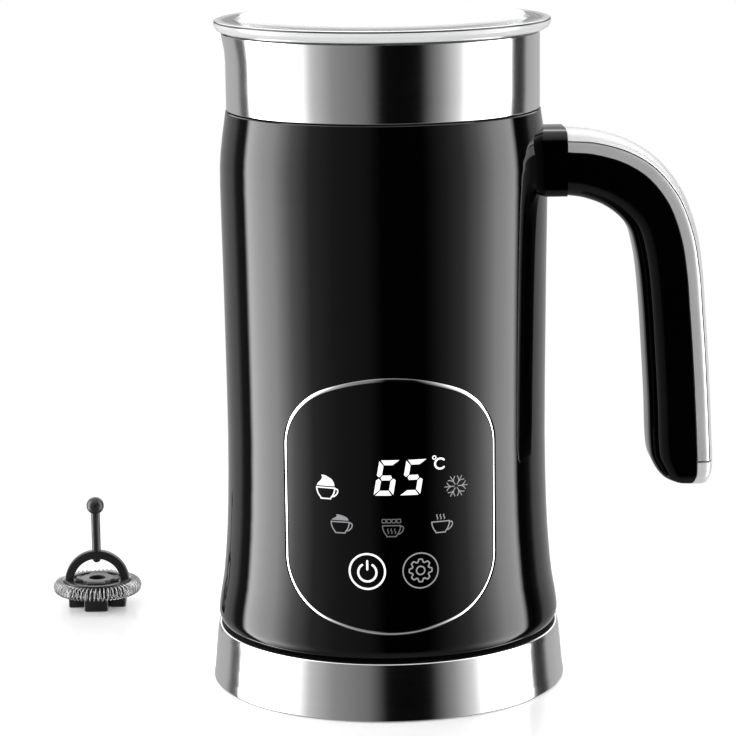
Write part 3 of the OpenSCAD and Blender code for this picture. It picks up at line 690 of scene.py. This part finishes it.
def area_solid(outline):
    """Filled mark: a thin solid on the window from its outline in panel coordinates."""
    n = len(outline)
    verts = [on_shell(x, z, lift) for lift in (MARK_LIFT, MARK_LIFT - MARK_DEPTH) for x, z in outline]
    faces = [tuple(range(n)), tuple(n + i for i in reversed(range(n)))]
    for i in range(n):
        j = (i + 1) % n
        faces.append((i, n + i, n + j, j))
    return verts, faces


def band(points, width, closed):
    """Left and right edges of a strip along a line, eased at the bends."""
    n = len(points)
    left, right = [], []
    for i, (x, z) in enumerate(points):
        before = points[i - 1] if closed or i else points[i]
        after = points[(i + 1) % n] if closed or i < n - 1 else points[i]
        a = Vector((x - before[0], z - before[1]))
        b = Vector((after[0] - x, after[1] - z))
        a = a.normalized() if a.length > 1e-9 else b.normalized()
        b = b.normalized() if b.length > 1e-9 else a
        normal = Vector((-(a + b).y, (a + b).x)).normalized()
        reach = width / 2 / max(0.5, normal.dot(Vector((-a.y, a.x))))
        left.append((x + normal.x * reach, z + normal.y * reach))
        right.append((x - normal.x * reach, z - normal.y * reach))
    return left, right


def strip_solid(points, width, closed=False):
    """Thin solid on the window that follows a line, with narrowed ends unless it closes."""
    if not closed:
        first, second = Vector(points[0]), Vector(points[1])
        last, before = Vector(points[-1]), Vector(points[-2])
        cap = width * END_REACH
        points = ([tuple(first + (first - second).normalized() * cap)] + list(points)
                  + [tuple(last + (last - before).normalized() * cap)])
    left, right = band(points, width, closed)
    if not closed:
        for side in (left, right):
            for end in (0, -1):
                side[end] = tuple(Vector(points[end]).lerp(Vector(side[end]), END_SHARE))
    rings = [[on_shell(*l, MARK_LIFT), on_shell(*r, MARK_LIFT),
              on_shell(*r, MARK_LIFT - MARK_DEPTH), on_shell(*l, MARK_LIFT - MARK_DEPTH)]
             for l, r in zip(left, right)]
    return sweep_geometry(rings, closed)


def fine(points, step=0.5, closed=False):
    """The same line with points no further apart than a step."""
    out = []
    pairs = list(zip(points, points[1:] + points[:1]))
    for a, b in pairs if closed else pairs[:-1]:
        count = max(1, math.ceil(math.dist(a, b) / step))
        out += [(lerp(a[0], b[0], k / count), lerp(a[1], b[1], k / count)) for k in range(count)]
    return out if closed else out + [points[-1]]


def moved(points, x, z, size=1.0):
    return [(x + px * size, z + pz * size) for px, pz in points]


DIGIT_H, DIGIT_W, DIGIT_T, DIGIT_SLANT = 10.3, 5.6, 1.42, 0.174
SEGMENTS_OF = {"5": "afgcd", "6": "afgedc"}


def digit(figure, x, z):
    """Slanted seven-segment figure centred on (x, z), each segment with mitred ends."""
    w, h, t, gap, tip = DIGIT_W / 2, DIGIT_H / 2, DIGIT_T, 0.22, DIGIT_T / 2
    shapes = {
        "a": [(-w + gap * 2, h), (w + 0.1, h), (w - t - gap, h - t), (-w + t + gap, h - t)],
        "d": [(-w + gap * 2, -h), (w - gap * 2, -h), (w - t - gap, -h + t), (-w + t + gap, -h + t)],
        "g": [(-w + tip + gap * 2, 0), (-w + t + gap, tip), (w - t - gap, tip), (w - tip - gap * 2, 0),
              (w - t - gap, -tip), (-w + t + gap, -tip)],
        "f": [(-w, h - gap), (-w + t, h - t - gap), (-w + t, tip + gap), (-w + tip, gap),
              (-w, tip + gap - 0.2)],
        "e": [(-w, -h + gap), (-w, -tip - gap + 0.2), (-w + tip, -gap), (-w + t, -tip - gap),
              (-w + t, -h + t + gap)],
        "c": [(w, -h + gap), (w - t, -h + t + gap), (w - t, -tip - gap), (w - tip, -gap),
              (w, -tip - gap + 0.2)],
    }
    if "e" not in SEGMENTS_OF[figure]:
        shapes["d"][0] = (-w - 0.1, -h)
    solids = []
    for name in SEGMENTS_OF[figure]:
        outline = [(x + px + pz * DIGIT_SLANT, z + pz) for px, pz in shapes[name]]
        solids.append(area_solid(fine(outline, 0.8, closed=True)))
    return solids


def cup_outline():
    """Cup: sloping sides and a flat foot, closed along its rim."""
    left = arc(4.2, 180, 222, 6, (1.62, 0.0))
    foot = [(-1.36, -3.2), (1.36, -3.2)]
    right = [(-px, pz) for px, pz in reversed(left)]
    return left + foot + right


def cup(x, z, width):
    ear = [(2.45, -0.35), (3.1, -0.25), (3.45, -0.75), (3.2, -1.6), (2.55, -2.3), (2.0, -2.55)]
    return [strip_solid(fine(moved(cup_outline(), x, z), 0.4, closed=True), width, closed=True),
            strip_solid(curve_through(moved(ear, x, z), 4), width)]


def foam(x, z, size, tall):
    """Swirl of milk foam that stands on a cup's rim."""
    rim = [(-2.6, 0.0), (2.5, 0.0)]
    right = arc(2.5, 0, 70, 8, (0.0, 0.0))[1:]
    tip = [(0.1, 2.75), (-0.6, 2.95), (-1.25, 2.85), (-1.0, 2.45), (-1.05, 1.95), (-1.5, 1.3),
           (-2.1, 0.75)]
    outline = [(px, pz * tall) for px, pz in rim + right + tip]
    return [area_solid(fine(moved(outline, x, z, size), 0.6, closed=True))]


def wave(x, z, height, width):
    steps = [k / 10 for k in range(11)]
    line = [(x + 0.16 * math.sin(2 * math.pi * t), z + height * (t - 0.5)) for t in steps]
    return strip_solid(line, width)


def snowflake(x, z, radius, width):
    parts = []
    for k in range(6):
        turn = math.radians(60 * k)

        def at(along, across):
            return (x + radius * (along * math.cos(turn) - across * math.sin(turn)),
                    z + radius * (along * math.sin(turn) + across * math.cos(turn)))

        parts.append(strip_solid(fine([at(0.16, 0), at(0.98, 0)]), width))
        for side in (-1, 1):
            bend = [at(0.42, 0), at(0.62, side * 0.1), at(0.8, side * 0.34)]
            parts.append(strip_solid(curve_through(bend, 3), width))
    return parts


def gear(x, z, width):
    """Toothed wheel's outline, with a round hole in its middle."""
    line = []
    teeth, root, tip, per_tooth = 8, 2.5, 3.3, 12
    for k in range(teeth * per_tooth):
        phase = (k % per_tooth) / per_tooth
        rise = min(1.0, max(0.0, 1.55 * math.sin(math.pi * phase) ** 1.5 - 0.25)) if phase else 0.0
        r = lerp(root, tip, rise)
        a = 2 * math.pi * k / (teeth * per_tooth) + math.pi / 2 - math.pi / teeth
        line.append((x + r * math.cos(a), z + r * math.sin(a)))
    hole = arc(1.2, 0, 350, 35, (x, z))
    return [strip_solid(line, width, closed=True), strip_solid(hole, width, closed=True)]


def circle_mark(x, z, radius, width):
    return strip_solid(arc(radius, 0, 354, 59, (x, z)), width, closed=True)


def display_marks():
    """Marks in panel coordinates: x from its centre, z above the surface."""
    middle = PANEL_Z - 0.5
    row_lit, row_dim, row_keys = middle + 5.5, middle - 4.6, middle - 18.5
    power_x, gear_x, key_r = -7.1, 8.25, 5.08
    white = digit("6", -1.35, middle + 8.9) + digit("5", 6.4, middle + 8.9)
    white.append(circle_mark(12.5, middle + 14.3, 0.48, 0.3))
    white.append(strip_solid(arc(1.5, 42, 318, 24, (14.2, middle + 12.4)), 0.56))
    white += cup(-18.7, row_lit, 0.36) + foam(-18.7, row_lit + 0.55, 1.0, 1.08)
    white.append(circle_mark(power_x, row_keys, key_r, 0.56))
    white.append(strip_solid(arc(2.62, 122, 418, 40, (power_x, row_keys - 0.3)), 0.6))
    white.append(strip_solid(fine([(power_x, row_keys + 0.5), (power_x, row_keys + 3.1)]), 0.6))
    grey = cup(-14.7, row_dim + 0.3, 0.32) + foam(-14.7, row_dim + 0.8, 0.95, 0.6)
    grey += snowflake(18.8, row_lit - 0.15, 3.4, 0.26)
    grey += cup(14.2, row_dim, 0.32)
    grey += [wave(13.2 + k, row_dim + 1.4, 1.4, 0.28) for k in range(3)]
    grey.append(circle_mark(gear_x, row_keys, key_r, 0.36))
    grey += gear(gear_x, row_keys, 0.38)
    dim = cup(0.0, row_dim - 0.5, 0.3)
    dim += [wave(-1.0 + k, row_dim - 2.1, 1.4, 0.24) for k in range(3)]
    for k in range(4):
        square = rounded([(-0.55, -0.5, 0.12), (0.55, -0.5, 0.12), (0.55, 0.5, 0.12),
                          (-0.55, 0.5, 0.12)], 2)
        dim.append(strip_solid(moved(square, -2.15 + 1.42 * k, row_dim + 0.85), 0.24, closed=True))
    for name, solids, slot in (("marks_lit", white, "icon_white"), ("marks_half_lit", grey, "icon_grey"),
                               ("marks_dim", dim, "icon_grey.dim")):
        verts, faces = joined(*solids)
        mesh_piece(name, verts, faces, slot, "jug")


# ---------------------------------------------------------------- steel ring, collar and lid
def steel_ring():
    """Skirt of the power base: it narrows upwards, and the cord's gland goes through it."""
    low, high = mm_box("base_skirt")
    foot_r = high.x
    wall, bore_r = 2.6, 4.55
    outline = rounded([
        (foot_r - wall, low.z, 0.2), (foot_r - 0.05, low.z, 0.5), (foot_r - 0.55, low.z + 3.3, 8),
        (foot_r - 1.12, low.z + 9.6, 8), (foot_r - 1.62, high.z - 2, 4), (foot_r - 2.0, high.z, 0.75),
        (foot_r - wall - 0.3, high.z, 0.3)], 6)
    ring = lathe("steel_ring", outline, "brushed_steel", "base", ("base_skirt",), 256, sharp=40)
    gland_low, gland_high = mm_box("cord_gland")
    middle = (gland_low + gland_high) / 2
    bore = [[(middle.x + bore_r * math.cos(a), y, middle.z + bore_r * math.sin(a))
             for a in (math.radians(t) for t in range(0, 360, 6))]
            for y in (foot_r - 8, foot_r + 4)]
    cut_with(ring, *sweep_geometry(bore), "DIFFERENCE")
    smooth_by_angle(ring.data, 40)


def steel_collar():
    """Collar with a ledge at its foot, and a slight pouring lip away from the handle."""
    low, high = mm_box("steel_collar")
    r, wall, ledge = high.x, 0.6, 3.4
    outline = rounded([
        (r - ledge, low.z, 0.1), (r - 0.02, low.z, 0.35), (r, low.z + 7, 0), (r, low.z + 14, 0),
        (r, high.z - 5, 0), (r, high.z, 0.28), (r - wall, high.z, 0.28), (r - wall, high.z - 5, 0),
        (r - wall, low.z + 14, 0), (r - wall, low.z + wall, 0.3), (r - ledge, low.z + wall, 0.1)], 5)
    collar = lathe("collar_band", outline, "brushed_steel", "jug", ("steel_collar",), 256, sharp=40)
    lip_start, lip_reach, lip_spread = high.z - 9, 1.2, math.radians(38)
    for v in collar.data.vertices:
        x, y, z = v.co / MM
        off = abs(math.pi - math.atan2(y, x) % (2 * math.pi))
        if z > lip_start and off < lip_spread:
            rise = ((z - lip_start) / (high.z - lip_start)) ** 2
            push = lip_reach * rise * math.cos(off / lip_spread * math.pi / 2) ** 2
            v.co += Vector((x, y, 0)).normalized() * push * MM


def clear_lid():
    """Lid in section: its middle, the clear rim, and the plug with the gasket's groove."""
    low, high = mm_box("lid")
    edge, top = high.x, high.z
    plug = mm_box("lid_gasket")[1].x - 0.85
    collar = mm_box("steel_collar")[1].x
    flange = top - 1.2
    outline = rounded([
        (0, top, 0), (edge - 7.8, top, 0.9), (edge - 6.2, flange - 0.05, 0.9), (edge - 2.6, flange, 0.6),
        (edge - 1.7, flange + 0.12, 0.5), (edge - 0.05, flange, 0.6), (edge, flange - 1.5, 1.2),
        (edge - 0.8, flange - 2.7, 1.0), (collar + 1.3, flange - 3.35, 0.5),
        (collar + 0.4, flange - 3.55, 0.2), (collar + 0.1, flange - 3.7, 0.1),
        (collar - 0.8, flange - 3.7, 0.2), (collar - 0.85, flange - 1.8, 0.3),
        (plug, flange - 1.8, 0.3), (plug, top - 6.2, 0.2), (plug - 1, top - 6.2, 0.1),
        (plug - 1, top - 8.2, 0.1), (plug, top - 8.2, 0.1), (plug, low.z, 0.2),
        (plug - 2.2, low.z, 0.2), (plug - 2.2, top - 1.7, 0.5), (0, top - 1.7, 0)], 6)
    lathe("clear_lid", outline, "clear_plastic", "lid", ("lid",), 256, sharp=40)


# ---------------------------------------------------------------- handle
GRIP_BENDS = [
    (54.9, 146.2, 54.9, 165.6), (59, 145.5, 63, 164.7), (64.5, 143.4, 73, 161.5),
    (69.2, 140, 81.5, 155.8), (72.4, 135.8, 88.5, 146.6), (74, 130.5, 92.7, 135),
    (75.2, 123.5, 94.5, 123.5), (76.3, 112, 95.4, 112), (77.2, 98, 96.4, 98),
    (78, 84, 97.2, 83), (78.5, 71, 97.8, 70), (79.6, 65.5, 97.9, 65.5),
    (82.7, 61.2, 97.7, 62.2), (87.2, 59.3, 96.3, 59.1)]
GRIP_STEPS = 10
NECK_FACE = (53.7, 146.3, 53.7, 165.75)
GRIP_RINGS = curve_through([NECK_FACE] + GRIP_BENDS, GRIP_STEPS)
LAST_RING = len(GRIP_RINGS) - 1
CAP_START = LAST_RING - 22
GRIP_W = 11.5
GRIP_CORNER_R = 6.0
END_RINGS, END_INSET = 16, 2.4  # the rounded bottom end: its rings, and how much it narrows
BACK_DEPTH, BACK_EXTRA = 5.4, 0.7  # the bright back: its depth, and what the neck's end adds
# the seam in the bright back, as a share of its depth, and how early it reaches its last value
SEAM_AT_NECK, SEAM_AT_FOOT, SEAM_RISE = 0.5, 0.68, 1.6
BACK_ROUND = 5  # power in the back's outline: a higher one makes its outer edges squarer


def back_depth(i):
    """Depth of the bright back at a ring: it is deeper towards the neck."""
    return BACK_DEPTH + BACK_EXTRA * max(0.0, 1 - i / CAP_START) ** 2


def grip_half_width(i):
    """Half width at a ring, eased in over the rounded bottom end."""
    ease = max(0.0, 1 - (LAST_RING - i) / END_RINGS)
    return GRIP_W - END_INSET * (1 - math.sqrt(max(0.0, 1 - ease ** 2)))


def ring_depth(i):
    ix, iz, ox, oz = GRIP_RINGS[i]
    return math.hypot(ox - ix, oz - iz)


def ring_at(i, section):
    """A ring's points from (y, m) pairs, m in from the finger side."""
    ix, iz, ox, oz = GRIP_RINGS[i]
    depth = ring_depth(i)
    return [(lerp(ix, ox, m / depth), y, lerp(iz, oz, m / depth)) for y, m in section]


def grip_section(i):
    w, back = grip_half_width(i), ring_depth(i) - back_depth(i)
    half = [(w, back, 0.35), (w, 0.0, min(GRIP_CORNER_R, back * 0.8))]
    return rounded([(-y, m, e) for y, m, e in half] + half[::-1], 8)


def back_seam(i):
    """Height of the seam above the bright back's base: it runs outwards along the handle."""
    return back_depth(i) * lerp(SEAM_AT_NECK, SEAM_AT_FOOT, min(1.0, i / CAP_START * SEAM_RISE))


def back_section(i, low, high):
    """Slice of the bright back between two heights above its base; its whole outside is rounded."""
    w, deep = grip_half_width(i), back_depth(i)
    base = ring_depth(i) - deep
    steps = 12
    side = []
    for k in range(steps + 1):
        share = (low + (high - low) * math.sin(math.pi / 2 * k / steps)) / deep
        side.append((w * math.sqrt(max(0.0, 1 - share ** BACK_ROUND)), base + share * deep))
    if high >= deep:
        side.pop()
        return [(-y, m) for y, m in side] + [(0, base + deep)] + side[::-1]
    return [(-y, m) for y, m in side] + side[::-1]


def handle():
    """Grip, its bright back in two layers with a dark seam between them, and the back's tip."""
    rings = [ring_at(i, grip_section(i)) for i in range(LAST_RING + 1)]
    sweep("grip", rings, "gloss_black", "jug", ("handle_grip", "grip_foot"), sharp=50)
    foot_gap, gap, inset, filler = 0.06, 0.17, 0.9, 0.24
    back = range(1, CAP_START)
    rings = [ring_at(i, back_section(i, foot_gap, back_seam(i) - gap)) for i in back]
    sweep("handle_band", rings, "satin_silver.band", "jug", ("handle_back",), sharp=50)
    rings = [ring_at(i, back_section(i, back_seam(i) + gap, back_depth(i))) for i in back]
    sweep("handle_crown", rings, "satin_silver", "jug", sharp=50)
    rings = []
    for i in back[1:-1]:
        w, seam = grip_half_width(i) - inset, ring_depth(i) - back_depth(i) + back_seam(i)
        w *= math.sqrt(1 - (back_seam(i) / back_depth(i)) ** BACK_ROUND)
        low, high = seam - filler, seam + filler
        rings.append(ring_at(i, [(-w, low), (w, low), (w, high), (-w, high)]))
    sweep("handle_seam", rings, "soft_black", "jug")
    rings = [ring_at(i, back_section(i, foot_gap, back_depth(i)))
             for i in range(CAP_START + 1, LAST_RING + 1)]
    sweep("handle_tip", rings, "satin_silver", "jug", ("handle_end_cap",), sharp=50)


def handle_neck():
    """Block between the shell and the grip: it follows the shell, and its top eases down at the end."""
    face_x, low, _, high = NECK_FACE
    w, sunk, end_run, end_drop = GRIP_W + 0.06, 0.4, 0.5, 0.5
    end_x = face_x - end_run

    def ring(x_at, top):
        section = rounded([(-w, low, 3), (w, low, 3), (w, top, 4), (-w, top, 4)], 8)
        return [(x_at(y, z), y, z) for y, z in section]

    def seat(y, z):
        return math.sqrt((shell_radius(z) - sunk) ** 2 - y * y)

    rings = [ring(seat, high + 0.1), ring(lambda y, z: lerp(seat(y, z), end_x, 0.5), high + 0.1)]
    steps = 8
    for k in range(steps + 1):
        past = k / steps
        top = high + 0.1 - end_drop * (1 - math.sqrt(1 - past ** 2))
        rings.append(ring(lambda y, z: end_x + end_run * past, top))
    sweep("neck", rings, "gloss_black", "jug", ("handle_neck",), sharp=40)


# ---------------------------------------------------------------- whisks
def box_geometry(low, high, bevel=0.4):
    """Box with its upright edges and its top and bottom edges eased."""
    rings = []
    for z, inset in ((low[2], bevel), (low[2] + bevel, 0), (high[2] - bevel, 0), (high[2], bevel)):
        rings.append([(x, y, z) for x, y in rounded([
            (low[0] + inset, low[1] + inset, bevel), (high[0] - inset, low[1] + inset, bevel),
            (high[0] - inset, high[1] - inset, bevel), (low[0] + inset, high[1] - inset, bevel)], 3)])
    return sweep_geometry(rings)


def whisk_frame(name, body, node, at):
    """Whisk's moulding: a hub with four arms, the coil's rim, and an arch with the grip's ball."""
    low, high = mm_box(node)
    base, height = low.z, high.z - low.z
    arm_half, arm_w, arm_h, hub_top = 9.3, 7.7, 8.4, 9.35
    rim_out, rim_in, rim_z, web_z = 10.5, 8.75, 7.9, 4.0
    bore_r, skirt_r, hub_r, web_r = 2.6, 5.2, 5.6, rim_in - 0.6
    # each arm starts inside the hub, and a smaller step stands on it
    arm_start, step_start, step_in, step_short, step_sunk = 3.9, 4.2, 0.8, 2.2, 1.2
    parts = []
    arms = [box_geometry((arm_start, -arm_w / 2, 0), (arm_half, arm_w / 2, arm_h)),
            box_geometry((step_start, step_in - arm_w / 2, arm_h - step_sunk),
                         (arm_half - step_short, arm_w / 2 - step_in, hub_top - 0.05))]
    for dx, dy in ((1, 0), (0, 1), (-1, 0), (0, -1)):
        parts += [([(x * dx - y * dy, x * dy + y * dx, z) for x, y, z in verts], faces)
                  for verts, faces in arms]
    hub = [(bore_r, 0.05, 0.2), (skirt_r, 0.05, 0.2), (skirt_r, web_z, 0.2), (web_r, web_z, 0.1),
           (web_r, web_z + 1, 0.2), (hub_r, web_z + 1, 0.4), (hub_r, hub_top, 0.3), (bore_r, hub_top, 0.3)]
    rim = [(rim_in, rim_z, 0.2), (rim_out, rim_z, 0.2), (rim_out, rim_z + 1, 0.3),
           (rim_in, rim_z + 1, 0.3), (rim_in - 0.01, rim_z + 0.5, 0)]
    parts += [lathe_geometry(rounded(outline, 4), 64) for outline in (hub, rim)]
    arch_in, arch_out, arch_half, arch_z = 7.8, 10.6, 1.4, arm_h - 0.4
    section = rounded([(arch_in, -arch_half, 0.4), (arch_out, -arch_half, 0.4),
                       (arch_out, arch_half, 0.4), (arch_in, arch_half, 0.4)], 3)
    steps = 32
    arch = []
    for k in range(steps + 1):
        a = math.pi * k / steps
        arch.append([(r * math.cos(a), y, arch_z + r * math.sin(a)) for r, y in section])
    parts.append(sweep_geometry(arch))
    stem_r, ball_r, nub_z = 1.45, 2.85, arm_h + 6.0
    ball_z = height - ball_r
    neck = math.degrees(math.asin(stem_r / ball_r))
    ball = arc(ball_r, -90 + neck, 90, 24, (0, ball_z))
    nub = arc(stem_r, -90, 0, 6, (0, nub_z + stem_r))
    stem = nub + [(stem_r, ball_z - ball_r * math.cos(math.radians(neck)) - 0.3)] + ball
    stem = [(max(0.0, r), z) for r, z in stem]
    stem[0], stem[-1] = (0, stem[0][1]), (0, stem[-1][1])
    parts.append(lathe_geometry(stem, 40))
    verts, faces = joined(*parts)
    verts = [(x + at[0], y + at[1], z + base) for x, y, z in verts]
    mesh_piece(name, verts, faces, "whisk_black", body, (node,), sharp=40)


def whisk_coil(name, body, node, at):
    """Spring ring: one wire wound round a circle, its ends joined."""
    low, high = mm_box(node)
    turn_r = (high.z - low.z) / 2
    ring_r = (high.x - low.x) / 2 - turn_r
    wire, turns, per_turn, sides = 0.19, 60, 16, 6
    turn_r -= wire
    count = turns * per_turn
    path = []
    for k in range(count):
        a, b = 2 * math.pi * k / count, 2 * math.pi * k / per_turn
        r = ring_r + turn_r * math.cos(b)
        path.append(Vector((at[0] + r * math.cos(a), at[1] + r * math.sin(a),
                            (low.z + high.z) / 2 + turn_r * math.sin(b))))
    rings = []
    for k, p in enumerate(path):
        a = 2 * math.pi * k / count
        centre = Vector((at[0] + ring_r * math.cos(a), at[1] + ring_r * math.sin(a), (low.z + high.z) / 2))
        along = (path[(k + 1) % count] - path[k - 1]).normalized()
        out = (p - centre).normalized()
        out = (out - along * out.dot(along)).normalized()
        side = along.cross(out)
        rings.append([tuple(p + out * wire * math.cos(t) + side * wire * math.sin(t))
                      for t in (2 * math.pi * j / sides for j in range(sides))])
    sweep(name, rings, "spring_steel", body, (node,), closed=True, sharp=80)


def whisk_sleeve(name, body, node, at):
    """Bearing bush, sunk in the hub's bore."""
    low, high = mm_box(node)
    inner_r, outer_r, sunk = 2.0, 2.48, high.z - 2.4
    outline = rounded([(inner_r, low.z, 0.2), (outer_r, low.z, 0.2), (outer_r, sunk, 0.2),
                       (inner_r, sunk, 0.3)], 3)
    lathe(name, outline, "soft_black", body, (node,), 48, (*at, 0))


def centre_of(node):
    low, high = mm_box(node)
    return (low.x + high.x) / 2, (low.y + high.y) / 2


def whisks():
    for prefix, body in (("whisk", "whisk"), ("spare", "spare_whisk")):
        at = centre_of(prefix + "_spring")
        whisk_frame(prefix + "_holder", body, prefix + "_frame", at)
        whisk_coil(prefix + "_coil", body, prefix + "_spring", at)
        whisk_sleeve(prefix + "_sleeve", "whisk_carrier" if body == "whisk" else body, prefix + "_bush", at)


# ---------------------------------------------------------------- CAD nodes that stay
def dress_cad_nodes():
    """Each CAD node that stays gets its slot's material and smooth shading, sharp above 32 degrees."""
    for name, node in NODES.items():
        if node.hide_render:
            continue
        node.data.materials.clear()
        node.data.materials.append(material(NODE_SLOT[name]))
        smooth_by_angle(node.data, 32)


MATERIALS["icon_grey.dim"] = lit("icon_grey_dim", 0.13).material
MATERIALS["satin_silver.band"] = satin_paint("satin_silver_band", (0.8, 0.8, 0.805), 0.6).material
aim_camera()
studio()
floor()
gloss_shell()
display_window()
panel_ring()
display_marks()
steel_ring()
steel_collar()
clear_lid()
handle()
handle_neck()
whisks()
dress_cad_nodes()
